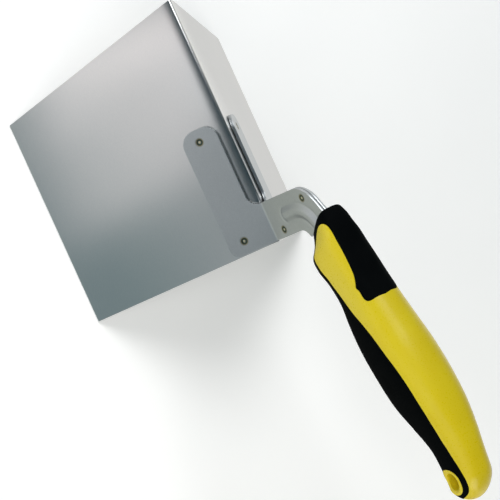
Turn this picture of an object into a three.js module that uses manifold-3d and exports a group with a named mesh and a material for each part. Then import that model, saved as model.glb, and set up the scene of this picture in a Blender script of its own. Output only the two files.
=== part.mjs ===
// A corner trowel for taping and plastering: a folded stainless blade, two mirrored sheet-metal
// bracket halves welded to it, and a moulded handle with a soft grip.
// Millimetres. X runs along the ridge from the toe to the handle, +Z is the handle side,
// and the trowel mirrors in the plane Y = 0. Z = 0 is the ridge line that the outer faces
// of the two wings would meet in if the fold were sharp.
import * as THREE from "three";
import { mergeVertices } from "three/addons/utils/BufferGeometryUtils.js";
import Module from "manifold-3d";

const wasm = await Module();
wasm.setup();

// Blade
const RIDGE_LENGTH = 127;
const WING_WIDTH = 102;
const WING_ANGLE = 80; // degrees between the two wings
const TOE_SETBACK = 22; // how much shorter a wing is at its outer edge
const BLADE_THICKNESS = 0.8;
const RIDGE_RADIUS = 2.4; // outside of the fold

// Bracket halves
const PLATE_THICKNESS = 1.5;
const BEND_RADIUS = 1.5; // on the visible side of the bend between flange and web
const HEEL_INSET = 0.5; // from the blade's heel edge
const FLANGE_LENGTH = 64.5;
const FLANGE_WIDTH = 18.6;
const FLANGE_RIDGE_GAP = 3.4; // from the end of the blade's fold to the flange
const FLANGE_TOE_RADIUS = 7;
const FLANGE_HEEL_RADIUS = 4.5;
const WEB_WIDTH = 19.8; // along the ridge
const NECK_WIDTH = 19.9;
const NECK_RISE = 28; // degrees above the ridge
const NECK_INNER_HEIGHT = 22.8; // where the heel edge starts to turn
const NECK_INNER_RADIUS = 6;
const NECK_OUTER_RADIUS = 16;
const BEAD_WIDTH = 8;
const BEAD_HEIGHT = 1.6;
const BEAD_END_HEIGHT = 16.8; // centre of the bead's round end
const BEAD_BEND_RADIUS = 15;
const BEAD_WALL = 1.4;
const TANG_HEIGHT = 13;
const TANG_LENGTH = 88;
const TANG_KEY_DIAMETER = 5; // two holes that the handle's plastic fills
const TANG_KEYS_AT = [34, 70];

// Spot welds
const WELD_DIAMETER = 3.2;
const WELD_DIMPLE = 0.2; // depth of the electrode's mark
const WELD_DEPTH_IN_BLADE = 0.25;
const FLANGE_WELD_FROM_TOE_END = 6.3;
const FLANGE_WELD_FROM_HEEL_END = 6.3;
const FLANGE_WELD_FROM_INNER_EDGE = 9.8;
const WEB_WELD_LOW = { fromHeelEdge: 3.7, height: 9.7 };
const WEB_WELD_HIGH = { fromHeelEdge: 14.1, height: 34.9 };

// Handle
const HANDLE_LENGTH = 150;
const HANDLE_RISE = 13; // degrees above the ridge
const HANDLE_OVERLAP = 3; // the nose starts this far ahead of the blade's heel
const HANDLE_HEIGHT = 38.2; // height of the handle's axis at its nose
const NOSE_LEAN = 13; // degrees that the nose face leans back
const NOSE_AT = 3.2; // along the handle's axis
const BUTT_ROUNDING = 10;
const ROUNDNESS = 2.4; // 2 makes elliptical sections, more makes them squarer
const SKIN = 2; // thickness of the soft grip
const NOSE_LIP = 0.4; // the core stands this far out of the grip at the nose
const HANG_HOLE_DIAMETER = 8.8;
const HANG_BOSS_DIAMETER = 13.6;
const HANG_HOLE_FROM_BUTT = 11.8;
const HANG_HOLE_HEIGHT = -6.4; // from the handle's axis

const CLEARANCE = 0.3; // between pieces that touch
const OVERCUT = 1; // how far a cutter reaches past what it cuts

// Cross-sections of the handle from nose to butt. `at` is a share of the handle's length, top and
// belly are heights from its axis, half is half the width, and egg makes the upper half wider.
const SECTIONS = [
  { at: -0.06, top: 11.5, belly: -8, half: 4, egg: 0.5 },
  { at: 0.0, top: 13.6, belly: -9.4, half: 4.8, egg: 0.55 },
  { at: 0.035, top: 14.8, belly: -10.2, half: 5.9, egg: 0.5 },
  { at: 0.07, top: 14.9, belly: -11.2, half: 8, egg: 0.24 },
  { at: 0.105, top: 14.5, belly: -12.8, half: 11.1, egg: 0 },
  { at: 0.14, top: 14.2, belly: -12.6, half: 11.9, egg: -0.04 },
  { at: 0.2, top: 14.3, belly: -11.6, half: 11.7, egg: 0.02 },
  { at: 0.27, top: 14.8, belly: -11.6, half: 11.9, egg: 0.03 },
  { at: 0.34, top: 15.5, belly: -13.8, half: 13, egg: 0.01 },
  { at: 0.42, top: 16.2, belly: -15.3, half: 14.2, egg: 0 },
  { at: 0.52, top: 17, belly: -15.9, half: 14.8, egg: 0 },
  { at: 0.64, top: 16.7, belly: -15.4, half: 14.3, egg: 0 },
  { at: 0.72, top: 15.6, belly: -12.8, half: 13, egg: 0 },
  { at: 0.81, top: 13.4, belly: -11, half: 11, egg: -0.03 },
  { at: 0.88, top: 10.5, belly: -13.2, half: 9.9, egg: -0.06 },
  { at: 0.95, top: 6.4, belly: -15.4, half: 9.6, egg: -0.06 },
  { at: 1, top: 3, belly: -15.4, half: 9.2, egg: -0.06 },
];
const HANDLE_RINGS = 52;
const HANDLE_SIDES = 36;

// Side view of where the yellow core shows through the soft grip: the lower edge of the thumb pad
// from its rear to the front of the window, and on along the belly to the butt. The first number
// is a share of the handle's length and the second a height from its axis.
const WINDOW_EDGE = [
  [0.32, 11.3], [0.27, 10.8], [0.21, 12.1], [0.13, 12.3], [0.065, 12.1], [0.037, 10.3],
  [0.05, 5.2], [0.088, -0.9], [0.125, -3.6], [0.18, -4.3], [0.235, -4],
];
const BELLY_EDGE = [
  [0.235, -4], [0.3, -0.6], [0.375, 5.4], [0.46, 7.5], [0.56, 9], [0.66, 8.4], [0.76, 6.3],
  [0.86, 4], [0.93, 2.4], [0.965, -0.8], [0.977, -7],
];

// ---------- helpers ----------

const rad = THREE.MathUtils.degToRad;
const HALF_ANGLE = rad(WING_ANGLE / 2);

function solidFrom(geometry) {
  const bare = geometry.clone();
  bare.deleteAttribute("normal");
  bare.deleteAttribute("uv");
  const merged = mergeVertices(bare, 1e-4);
  return new wasm.Manifold(new wasm.Mesh({
    numProp: 3,
    vertProperties: merged.attributes.position.array,
    triVerts: new Uint32Array(merged.index.array),
  }));
}

// The same solid on the other side of the plane Y = 0.
function mirrored(solid) {
  const { vertProperties, triVerts } = solid.getMesh();
  for (let i = 1; i < vertProperties.length; i += 3) vertProperties[i] *= -1;
  for (let i = 0; i < triVerts.length; i += 3) triVerts.subarray(i, i + 3).reverse();
  return new wasm.Manifold(new wasm.Mesh({ numProp: 3, vertProperties, triVerts }));
}

function meshFrom(name, solid, material) {
  const { vertProperties, triVerts } = solid.getMesh();
  const geometry = new THREE.BufferGeometry();
  geometry.setAttribute("position", new THREE.BufferAttribute(vertProperties, 3));
  geometry.setIndex(new THREE.BufferAttribute(triVerts, 1));
  geometry.computeVertexNormals();
  const mesh = new THREE.Mesh(geometry, material);
  mesh.name = name;
  return mesh;
}

// An outline drawn in a plane, pulled from one depth to another along the plane's normal.
function prism(shape, from, to, plane, curveSegments = 10) {
  const geometry = new THREE.ExtrudeGeometry(shape, { depth: to - from, bevelEnabled: false, curveSegments });
  geometry.translate(0, 0, from);
  return solidFrom(geometry.applyMatrix4(plane));
}

function rod(diameter, from, to, plane, x, y, sides = 24) {
  const geometry = new THREE.CylinderGeometry(diameter / 2, diameter / 2, to - from, sides);
  geometry.rotateX(Math.PI / 2);
  geometry.translate(x, y, (from + to) / 2);
  return solidFrom(geometry.applyMatrix4(plane));
}

// Planes to draw in, as (drawn x, drawn y, normal): along the right wing's outer face,
// side on (X, Z), and across the blade (Y, Z).
const X_AXIS = new THREE.Vector3(1, 0, 0);
const Y_AXIS = new THREE.Vector3(0, 1, 0);
const Z_AXIS = new THREE.Vector3(0, 0, 1);
const DOWN_WING = new THREE.Vector3(0, Math.sin(HALF_ANGLE), -Math.cos(HALF_ANGLE));
const OFF_WING = new THREE.Vector3(0, Math.cos(HALF_ANGLE), Math.sin(HALF_ANGLE));
const WING_PLANE = new THREE.Matrix4().makeBasis(X_AXIS, DOWN_WING, OFF_WING);
const SIDE_PLANE = new THREE.Matrix4().makeBasis(X_AXIS, Z_AXIS, Y_AXIS.clone().negate());
const CROSS_PLANE = new THREE.Matrix4().makeBasis(Y_AXIS, Z_AXIS, X_AXIS);

// The handle's own frame: X along its axis from the nose, Z up, Y across.
const HANDLE_FRAME = new THREE.Matrix4()
  .makeTranslation(RIDGE_LENGTH - HANDLE_OVERLAP, 0, HANDLE_HEIGHT)
  .multiply(new THREE.Matrix4().makeRotationY(-rad(HANDLE_RISE)));
const HANDLE_SIDE_PLANE = HANDLE_FRAME.clone().multiply(SIDE_PLANE);

// ---------- materials ----------

function metal(color, roughness) {
  return new THREE.MeshStandardMaterial({ color, roughness, metalness: 1 });
}

function plastic(color, roughness) {
  return new THREE.MeshStandardMaterial({ color, roughness, metalness: 0 });
}

const bladeSteel = () => metal(0xc9cbcb, 0.35);
const bracketSteel = () => metal(0x9ba0a3, 0.45);
const weldSteel = () => metal(0x8b8468, 0.5);
const yellowPlastic = () => plastic(0xdcca26, 0.35);
const blackRubber = () => plastic(0x0b1113, 0.7);

// ---------- blade ----------

const FOLD_CENTRE = -RIDGE_RADIUS / Math.sin(HALF_ANGLE);
const FOLD_END = RIDGE_RADIUS / Math.tan(HALF_ANGLE); // from the ridge line, down the wing

function bladeSection() {
  const outer = (side) => new THREE.Vector2(side * Math.sin(HALF_ANGLE), -Math.cos(HALF_ANGLE))
    .multiplyScalar(WING_WIDTH);
  const inner = (side) => outer(side)
    .sub(new THREE.Vector2(side * Math.cos(HALF_ANGLE), Math.sin(HALF_ANGLE)).multiplyScalar(BLADE_THICKNESS));
  const shape = new THREE.Shape();
  shape.absarc(0, FOLD_CENTRE, RIDGE_RADIUS, HALF_ANGLE, Math.PI - HALF_ANGLE, false);
  shape.lineTo(outer(-1).x, outer(-1).y);
  shape.lineTo(inner(-1).x, inner(-1).y);
  shape.absarc(0, FOLD_CENTRE, RIDGE_RADIUS - BLADE_THICKNESS, Math.PI - HALF_ANGLE, HALF_ANGLE, true);
  shape.lineTo(inner(1).x, inner(1).y);
  shape.lineTo(outer(1).x, outer(1).y);
  return shape;
}

// What the slanted toe edge removes from the right wing.
function toeCutter() {
  const slope = TOE_SETBACK / WING_WIDTH;
  const reach = 2 * RIDGE_RADIUS;
  const shape = new THREE.Shape([
    new THREE.Vector2(-slope * reach, -reach),
    new THREE.Vector2(slope * (WING_WIDTH + reach), WING_WIDTH + reach),
    new THREE.Vector2(-TOE_SETBACK, WING_WIDTH + reach),
    new THREE.Vector2(-TOE_SETBACK, -reach),
  ]);
  return prism(shape, -2 * reach, 2 * reach, WING_PLANE);
}

function blade() {
  let body = prism(bladeSection(), 0, RIDGE_LENGTH, CROSS_PLANE, 12);
  for (const { at, down } of FLANGE_WELDS) {
    const depth = WELD_DEPTH_IN_BLADE + CLEARANCE;
    const pocket = rod(WELD_DIAMETER + 2 * CLEARANCE, -depth, OVERCUT, WING_PLANE, at, down);
    body = body.subtract(pocket).subtract(mirrored(pocket));
  }
  const toe = toeCutter();
  return body.subtract(toe).subtract(mirrored(toe));
}

// ---------- bracket halves, drawn on the right side ----------

const HEEL = RIDGE_LENGTH - HEEL_INSET;
const WEB_TOE = HEEL - WEB_WIDTH;
const FLANGE_FACE = CLEARANCE + PLATE_THICKNESS; // height of the flange's outside over the wing
const WEB_FACE = CLEARANCE / 2 + PLATE_THICKNESS; // Y of the web's outside
const BEND_CENTRE = new THREE.Vector2(
  WEB_FACE + BEND_RADIUS,
  (FLANGE_FACE + BEND_RADIUS - (WEB_FACE + BEND_RADIUS) * Math.cos(HALF_ANGLE)) / Math.sin(HALF_ANGLE),
);
const FLANGE_START = BEND_CENTRE.x * Math.sin(HALF_ANGLE) - BEND_CENTRE.y * Math.cos(HALF_ANGLE);
const WEB_START = BEND_CENTRE.y;
const FLANGE_INNER_EDGE = FOLD_END + FLANGE_RIDGE_GAP;
const FLANGE_OUTER_EDGE = FLANGE_INNER_EDGE + FLANGE_WIDTH;
const FLANGE_WELDS = [
  { name: "toe", at: HEEL - FLANGE_LENGTH + FLANGE_WELD_FROM_TOE_END },
  { name: "heel", at: HEEL - FLANGE_WELD_FROM_HEEL_END },
].map((weld) => ({ ...weld, down: FLANGE_INNER_EDGE + FLANGE_WELD_FROM_INNER_EDGE }));
const WEB_WELDS = [
  { name: "low", at: HEEL - WEB_WELD_LOW.fromHeelEdge, height: WEB_WELD_LOW.height },
  { name: "high", at: HEEL - WEB_WELD_HIGH.fromHeelEdge, height: WEB_WELD_HIGH.height },
];

// Drawn along the wing: x from the toe, y down from the ridge line.
function flangeOutline() {
  const toe = HEEL - FLANGE_LENGTH;
  const slot = FLANGE_INNER_EDGE - FLANGE_START;
  const shape = new THREE.Shape();
  shape.absarc(HEEL - FLANGE_HEEL_RADIUS, FLANGE_OUTER_EDGE - FLANGE_HEEL_RADIUS,
    FLANGE_HEEL_RADIUS, 0, Math.PI / 2, false);
  shape.absarc(toe + FLANGE_TOE_RADIUS, FLANGE_OUTER_EDGE - FLANGE_TOE_RADIUS,
    FLANGE_TOE_RADIUS, Math.PI / 2, Math.PI, false);
  shape.absarc(toe + FLANGE_TOE_RADIUS, FLANGE_INNER_EDGE + FLANGE_TOE_RADIUS,
    FLANGE_TOE_RADIUS, Math.PI, 1.5 * Math.PI, false);
  shape.absarc(WEB_TOE - slot, FLANGE_INNER_EDGE - slot, slot, Math.PI / 2, 0, true);
  shape.lineTo(HEEL, FLANGE_START);
  return shape;
}

// The strip that joins flange and web, drawn across the blade.
function bendOutline() {
  const lap = 0.5;
  const onFlange = (height, down) => new THREE.Vector2(
    height * Math.cos(HALF_ANGLE) + down * Math.sin(HALF_ANGLE),
    height * Math.sin(HALF_ANGLE) - down * Math.cos(HALF_ANGLE),
  );
  const outside = onFlange(FLANGE_FACE, FLANGE_START + lap);
  const inside = onFlange(CLEARANCE, FLANGE_START + lap);
  const shape = new THREE.Shape();
  shape.absarc(BEND_CENTRE.x, BEND_CENTRE.y, BEND_RADIUS, Math.PI + HALF_ANGLE, Math.PI, true);
  shape.lineTo(WEB_FACE, WEB_START + lap);
  shape.lineTo(CLEARANCE / 2, WEB_START + lap);
  shape.absarc(BEND_CENTRE.x, BEND_CENTRE.y, BEND_RADIUS + PLATE_THICKNESS, Math.PI, Math.PI + HALF_ANGLE, false);
  shape.lineTo(inside.x, inside.y);
  shape.lineTo(outside.x, outside.y);
  return shape;
}

// The neck's two edges and its middle line, side on. Each edge turns through `turn` and then
// runs up at NECK_RISE.
const TURN = rad(90 - NECK_RISE);
const NECK_UP = new THREE.Vector2(Math.cos(rad(NECK_RISE)), Math.sin(rad(NECK_RISE)));
const INNER_TURN_CENTRE = new THREE.Vector2(HEEL + NECK_INNER_RADIUS, NECK_INNER_HEIGHT);
const OUTER_TURN_CENTRE = outerTurnCentre();

function turnEnd(centre, radius) {
  return new THREE.Vector2(centre.x - radius * Math.cos(TURN), centre.y + radius * Math.sin(TURN));
}

function outerTurnCentre() {
  const inner = turnEnd(INNER_TURN_CENTRE, NECK_INNER_RADIUS);
  const centre = new THREE.Vector2(WEB_TOE + NECK_OUTER_RADIUS, 0);
  const outer = turnEnd(centre, NECK_OUTER_RADIUS);
  centre.y = inner.y - outer.y + (NECK_WIDTH + (outer.x - inner.x) * NECK_UP.y) / NECK_UP.x;
  return centre;
}

function webOutline() {
  const reach = 2 * NECK_WIDTH;
  const inner = turnEnd(INNER_TURN_CENTRE, NECK_INNER_RADIUS).addScaledVector(NECK_UP, reach);
  const outer = turnEnd(OUTER_TURN_CENTRE, NECK_OUTER_RADIUS).addScaledVector(NECK_UP, reach);
  const shape = new THREE.Shape();
  shape.absarc(INNER_TURN_CENTRE.x, INNER_TURN_CENTRE.y, NECK_INNER_RADIUS, Math.PI, Math.PI - TURN, true);
  shape.lineTo(inner.x, inner.y);
  shape.lineTo(outer.x, outer.y);
  shape.absarc(OUTER_TURN_CENTRE.x, OUTER_TURN_CENTRE.y, NECK_OUTER_RADIUS, Math.PI - TURN, Math.PI, false);
  shape.lineTo(WEB_TOE, WEB_START);
  shape.lineTo(HEEL, WEB_START);
  return shape;
}

// A band of one width along the neck's middle line, round at its lower end.
function beadOutline(width) {
  const x = (HEEL + WEB_TOE) / 2;
  const middle = turnEnd(INNER_TURN_CENTRE, NECK_INNER_RADIUS)
    .add(turnEnd(OUTER_TURN_CENTRE, NECK_OUTER_RADIUS))
    .multiplyScalar(0.5);
  const corner = middle.y + (x - middle.x) * Math.tan(rad(NECK_RISE));
  const centre = new THREE.Vector2(x + BEAD_BEND_RADIUS, corner - BEAD_BEND_RADIUS * Math.tan(TURN / 2));
  const left = turnEnd(centre, BEAD_BEND_RADIUS + width / 2).addScaledVector(NECK_UP, NECK_WIDTH);
  const right = turnEnd(centre, BEAD_BEND_RADIUS - width / 2).addScaledVector(NECK_UP, NECK_WIDTH);
  const shape = new THREE.Shape();
  shape.absarc(x, BEAD_END_HEIGHT, width / 2, 0, Math.PI, true);
  shape.absarc(centre.x, centre.y, BEAD_BEND_RADIUS + width / 2, Math.PI, Math.PI - TURN, true);
  shape.lineTo(left.x, left.y);
  shape.lineTo(right.x, right.y);
  shape.absarc(centre.x, centre.y, BEAD_BEND_RADIUS - width / 2, Math.PI - TURN, Math.PI, false);
  return shape;
}

// A rounded ridge on that band whose foot lies at Y = foot.
function ridge(width, foot) {
  const crown = width / 4;
  const geometry = new THREE.ExtrudeGeometry(beadOutline(crown), {
    depth: PLATE_THICKNESS,
    bevelThickness: BEAD_HEIGHT,
    bevelSize: (width - crown) / 2,
    bevelSegments: 5,
    curveSegments: 10,
  });
  geometry.translate(0, 0, -foot);
  return solidFrom(geometry.applyMatrix4(SIDE_PLANE));
}

// Everything behind the nose face of the handle, moved forward by `ahead`.
function behindNose(ahead) {
  const far = HANDLE_LENGTH;
  const lean = rad(NOSE_LEAN);
  const shape = new THREE.Shape([
    new THREE.Vector2(-far * Math.sin(lean), far * Math.cos(lean)),
    new THREE.Vector2(far * Math.sin(lean), -far * Math.cos(lean)),
    new THREE.Vector2(2 * far, -far),
    new THREE.Vector2(2 * far, far),
  ].map((point) => point.add(new THREE.Vector2(NOSE_AT - ahead, 0))));
  return prism(shape, -far, far, HANDLE_SIDE_PLANE);
}

function tang(grow) {
  const half = TANG_HEIGHT / 2 + grow;
  const shape = new THREE.Shape();
  shape.absarc(TANG_LENGTH - TANG_HEIGHT / 2, 0, half, -Math.PI / 2, Math.PI / 2, false);
  shape.lineTo(-TANG_HEIGHT / 2, half);
  shape.lineTo(-TANG_HEIGHT / 2, -half);
  return shape;
}

function rightBracket() {
  const flange = prism(flangeOutline(), CLEARANCE, FLANGE_FACE, WING_PLANE);
  const bend = prism(bendOutline(), WEB_TOE, HEEL, CROSS_PLANE);
  const web = prism(webOutline(), -WEB_FACE, -CLEARANCE / 2, SIDE_PLANE);
  const neck = web.add(ridge(BEAD_WIDTH, WEB_FACE))
    .subtract(ridge(BEAD_WIDTH - 2 * BEAD_WALL, CLEARANCE / 2))
    .subtract(behindNose(NOSE_LIP + CLEARANCE));
  let body = flange.add(bend).add(neck)
    .add(prism(tang(0), -WEB_FACE, -CLEARANCE / 2, HANDLE_SIDE_PLANE));
  for (const { at, down } of FLANGE_WELDS)
    body = body.subtract(rod(WELD_DIAMETER + 2 * CLEARANCE, 0, FLANGE_FACE + OVERCUT, WING_PLANE, at, down));
  for (const { at, height } of WEB_WELDS)
    body = body.subtract(rod(WELD_DIAMETER + 2 * CLEARANCE, -WEB_FACE - OVERCUT, OVERCUT, SIDE_PLANE, at, height));
  for (const at of TANG_KEYS_AT)
    body = body.subtract(rod(TANG_KEY_DIAMETER, -WEB_FACE - OVERCUT, OVERCUT, HANDLE_SIDE_PLANE, at, 0));
  return body.subtract(leftOfSeam());
}

// The half of space that the right bracket half stays out of.
function leftOfSeam() {
  const far = RIDGE_LENGTH + HANDLE_LENGTH;
  const shape = new THREE.Shape([
    new THREE.Vector2(0, -far),
    new THREE.Vector2(far, -far),
    new THREE.Vector2(far, far),
    new THREE.Vector2(0, far),
  ]);
  return prism(shape, -CLEARANCE / 2, BEAD_HEIGHT + PLATE_THICKNESS + OVERCUT, SIDE_PLANE);
}

// ---------- handle ----------

const sectionAt = new THREE.CubicInterpolant(
  SECTIONS.map(({ at }) => at),
  SECTIONS.flatMap(({ top, belly, half, egg }) => [top, belly, half, egg]),
  4,
);

const squared = (value) => Math.sign(value) * Math.abs(value) ** (2 / ROUNDNESS);

// The handle's outer form, or the same form with `inset` taken off all round.
function handleForm(inset) {
  const first = SECTIONS[0].at;
  const profile = Array.from({ length: HANDLE_RINGS + 1 }, (_, i) => new THREE.Vector2(1, i / HANDLE_RINGS));
  const lathe = new THREE.LatheGeometry([new THREE.Vector2(0, 0), ...profile, new THREE.Vector2(0, 1)], HANDLE_SIDES);
  const position = lathe.attributes.position;
  const end = HANDLE_LENGTH - inset;
  for (let i = 0; i < position.count; i++) {
    const x = (first + (1 - first) * Math.sin(position.getY(i) * Math.PI / 2)) * end;
    const [top, belly, half, egg] = sectionAt.evaluate(x / HANDLE_LENGTH);
    const intoButt = Math.max(0, (x - end + BUTT_ROUNDING) / BUTT_ROUNDING);
    const shrink = Math.sqrt(Math.max(0, 1 - intoButt ** 2));
    const across = -squared(position.getX(i)); // the swap of axes would turn the faces in
    const up = squared(position.getZ(i));
    const middle = (top + belly) / 2;
    const y = across * (1 + egg * up) * Math.max(0, half - inset) * shrink;
    const z = middle + up * Math.max(0, (top - belly) / 2 - inset) * shrink;
    position.setXYZ(i, x, y, z);
  }
  return solidFrom(lathe.applyMatrix4(HANDLE_FRAME));
}

// The outline above as a closed shape that reaches past the handle on the yellow side.
function coreWindow(grow) {
  const reach = HANDLE_LENGTH;
  const point = ([share, height]) => new THREE.Vector2(share * HANDLE_LENGTH, height);
  const front = new THREE.SplineCurve(WINDOW_EDGE.map(point)).getPoints(40);
  const rear = new THREE.SplineCurve(BELLY_EDGE.map(point)).getPoints(40);
  const edge = [...front, ...rear.slice(1)];
  const last = edge.at(-1);
  const outline = [
    new THREE.Vector2(edge[0].x, reach),
    ...edge,
    new THREE.Vector2(last.x, -reach),
    new THREE.Vector2(2 * reach, -reach),
    new THREE.Vector2(2 * reach, reach),
  ];
  return new THREE.Shape(grow ? grown(outline, grow) : outline);
}

// A counter-clockwise outline moved outwards.
function grown(outline, distance) {
  return outline.map((point, i) => {
    const before = outline.at(i - 1);
    const after = outline[(i + 1) % outline.length];
    const along = after.clone().sub(before).normalize();
    return new THREE.Vector2(point.x + along.y * distance, point.y - along.x * distance);
  });
}

const HANG_HOLE_AT = HANDLE_LENGTH - HANG_HOLE_FROM_BUTT;

function acrossHandle(shapeOrDiameter) {
  const far = 2 * Math.max(...SECTIONS.map(({ half }) => half));
  if (typeof shapeOrDiameter !== "number") return prism(shapeOrDiameter, -far, far, HANDLE_SIDE_PLANE);
  return rod(shapeOrDiameter, -far, far, HANDLE_SIDE_PLANE, HANG_HOLE_AT, HANG_HOLE_HEIGHT, 32);
}

// The space that the two tangs take, side by side.
const POCKET_HALF = WEB_FACE + CLEARANCE;
const tangPocket = () => prism(tang(CLEARANCE), -POCKET_HALF, POCKET_HALF, HANDLE_SIDE_PLANE);

function handleCore() {
  const outside = handleForm(0).intersect(behindNose(0));
  const inside = handleForm(SKIN).intersect(behindNose(NOSE_LIP));
  let core = outside.intersect(acrossHandle(coreWindow(0)))
    .add(outside.intersect(acrossHandle(HANG_BOSS_DIAMETER)))
    .add(inside)
    .subtract(acrossHandle(HANG_HOLE_DIAMETER))
    .subtract(tangPocket());
  for (const at of TANG_KEYS_AT)
    core = core.add(rod(TANG_KEY_DIAMETER - 2 * CLEARANCE, -POCKET_HALF, POCKET_HALF, HANDLE_SIDE_PLANE, at, 0));
  return core;
}

function softGrip() {
  return handleForm(0).intersect(behindNose(0))
    .subtract(handleForm(SKIN - CLEARANCE))
    .subtract(acrossHandle(coreWindow(CLEARANCE)))
    .subtract(acrossHandle(HANG_BOSS_DIAMETER + 2 * CLEARANCE))
    .subtract(tangPocket());
}

// ---------- assembly ----------

function weldNuggets() {
  const nuggets = [];
  for (const { name, at, down } of FLANGE_WELDS) {
    const nugget = rod(WELD_DIAMETER, -WELD_DEPTH_IN_BLADE, FLANGE_FACE - WELD_DIMPLE, WING_PLANE, at, down);
    nuggets.push(meshFrom("left_" + name + "_weld", mirrored(nugget), weldSteel()));
    nuggets.push(meshFrom("right_" + name + "_weld", nugget, weldSteel()));
  }
  for (const { name, at, height } of WEB_WELDS) {
    const half = WEB_FACE - WELD_DIMPLE;
    const nugget = rod(WELD_DIAMETER, -half, half, SIDE_PLANE, at, height);
    nuggets.push(meshFrom("web_" + name + "_weld", nugget, weldSteel()));
  }
  return nuggets;
}

const trowel = new THREE.Group();
const rightHalf = rightBracket();
trowel.add(meshFrom("blade", blade(), bladeSteel()));
trowel.add(meshFrom("left_bracket", mirrored(rightHalf), bracketSteel()));
trowel.add(meshFrom("right_bracket", rightHalf, bracketSteel()));
trowel.add(...weldNuggets());
trowel.add(meshFrom("handle_core", handleCore(), yellowPlastic()));
trowel.add(meshFrom("soft_grip", softGrip(), blackRubber()));

// The exported origin: the middle of the trowel, on the plane its wings stand on.
const extent = new THREE.Box3().setFromObject(trowel);
trowel.position.set(-(extent.min.x + extent.max.x) / 2, 0, -extent.min.z);

export default trowel;
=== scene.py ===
"""How the corner trowel looks: a folded stainless blade, a bracket of two welded stampings and a
handle of two plastics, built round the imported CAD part.

Pieces are drawn in millimetres in the ridge frame: X runs along the ridge from the toe, Z is up,
and the origin is where the outer faces of the two wings would meet if the fold were sharp.
place() turns a finished piece into metres in the row frame.
"""

import math

import bmesh
import bpy
import numpy as np
from mathutils import Matrix, Vector


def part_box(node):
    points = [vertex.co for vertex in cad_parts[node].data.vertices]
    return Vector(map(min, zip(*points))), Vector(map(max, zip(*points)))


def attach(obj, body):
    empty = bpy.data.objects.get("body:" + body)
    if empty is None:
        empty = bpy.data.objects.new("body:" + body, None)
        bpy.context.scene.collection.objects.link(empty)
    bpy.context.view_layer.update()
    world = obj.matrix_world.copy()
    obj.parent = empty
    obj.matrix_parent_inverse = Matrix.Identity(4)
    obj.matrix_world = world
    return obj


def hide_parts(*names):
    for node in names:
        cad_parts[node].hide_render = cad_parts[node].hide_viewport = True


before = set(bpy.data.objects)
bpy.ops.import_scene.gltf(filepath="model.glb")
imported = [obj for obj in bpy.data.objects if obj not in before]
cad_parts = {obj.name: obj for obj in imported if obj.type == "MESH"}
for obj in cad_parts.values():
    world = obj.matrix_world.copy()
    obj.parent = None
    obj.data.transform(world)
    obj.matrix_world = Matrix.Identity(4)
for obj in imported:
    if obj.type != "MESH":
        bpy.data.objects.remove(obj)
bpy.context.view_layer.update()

# ---------- sizes in millimetres, as in the CAD part ----------

RIDGE_LENGTH = 127
WING_WIDTH = 102
HALF_ANGLE = math.radians(40)  # half the angle between the wings
TOE_SETBACK = 22
BLADE_THICKNESS = 0.8
FOLD_STARTS = 10  # down the wing, where the flat sheet begins to curve towards the ridge
SOFT_TURN = math.radians(13)  # of that curve, before the tight fold at the ridge
SOFT_TURN_LATE = 2.2  # how much of it comes near the ridge: 1 would spread it evenly
FOLD_RADIUS = 1.3
BLADE_EDGE = 0.12

PLATE = 1.5
GAP = 0.3
BEND_RADIUS = 1.5
HEEL = 126.5
WEB_TOE = HEEL - 19.8
FLANGE_TOE = HEEL - 64.5
FLANGE_INNER = 6.26
FLANGE_OUTER = FLANGE_INNER + 18.6
FLANGE_FACE = GAP + PLATE
WEB_FACE = GAP / 2 + PLATE
NECK_WIDTH = 19.9
NECK_RISE = math.radians(28)
NECK_INNER_HEIGHT = 22.8
NECK_INNER_RADIUS = 6
NECK_OUTER_RADIUS = 16
BEAD_HALF = 4
BEAD_HEIGHT = 1.6
BEAD_END_HEIGHT = 16.8
BEAD_BEND_RADIUS = 15
BEAD_CROWN = 0.7  # half the width of its flat top
BEAD_GROOVE = 0.22  # how deep the sheet is drawn in at the bead's foot
BEAD_GROOVE_AT = BEAD_HALF + 0.1
BEAD_GROOVE_HALF = 0.5
TANG_HALF = 6.5
TANG_LENGTH = 88
STAMPING_PITCH = 0.45
STAMPING_EDGE = 0.14
WELD_SINK = 0.16
WELD_RADIUS = 1.6
DIMPLE_RADIUS = 1.75
FLANGE_WELDS = {"toe": FLANGE_TOE + 6.3, "heel": HEEL - 6.3}
FLANGE_WELD_DOWN = FLANGE_INNER + 9.8
WEB_WELDS = {"low": (HEEL - 3.7, 9.7), "high": (HEEL - 14.1, 34.9)}

HANDLE_LENGTH = 150
HANDLE_RISE = math.radians(13)
HANDLE_NOSE = (124, 0, 38.2)
NOSE_LEAN = math.radians(13)
NOSE_AT = 3.2
NOSE_LIP = 0.7
NOSE_ROUNDING = 1.6
NOSE_END = 12  # from here back, nothing belongs to the nose face
BUTT_ROUNDING = 10
SKIN = 1.75
SKIN_GAP = 0.1
HOLE_AT = (138.2, -6.4)
HOLE_RADIUS = 4.4
RING_RADIUS = 6.8
RING_PROUD = 0.5
HOLE_DIP = 1.5  # how deep the round edge of the hang hole falls
GRIP_PROUD = 0.08
GRIP_EDGE = 0.14
HANDLE_SIDES = 176
HANDLE_RINGS = 300

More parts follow.
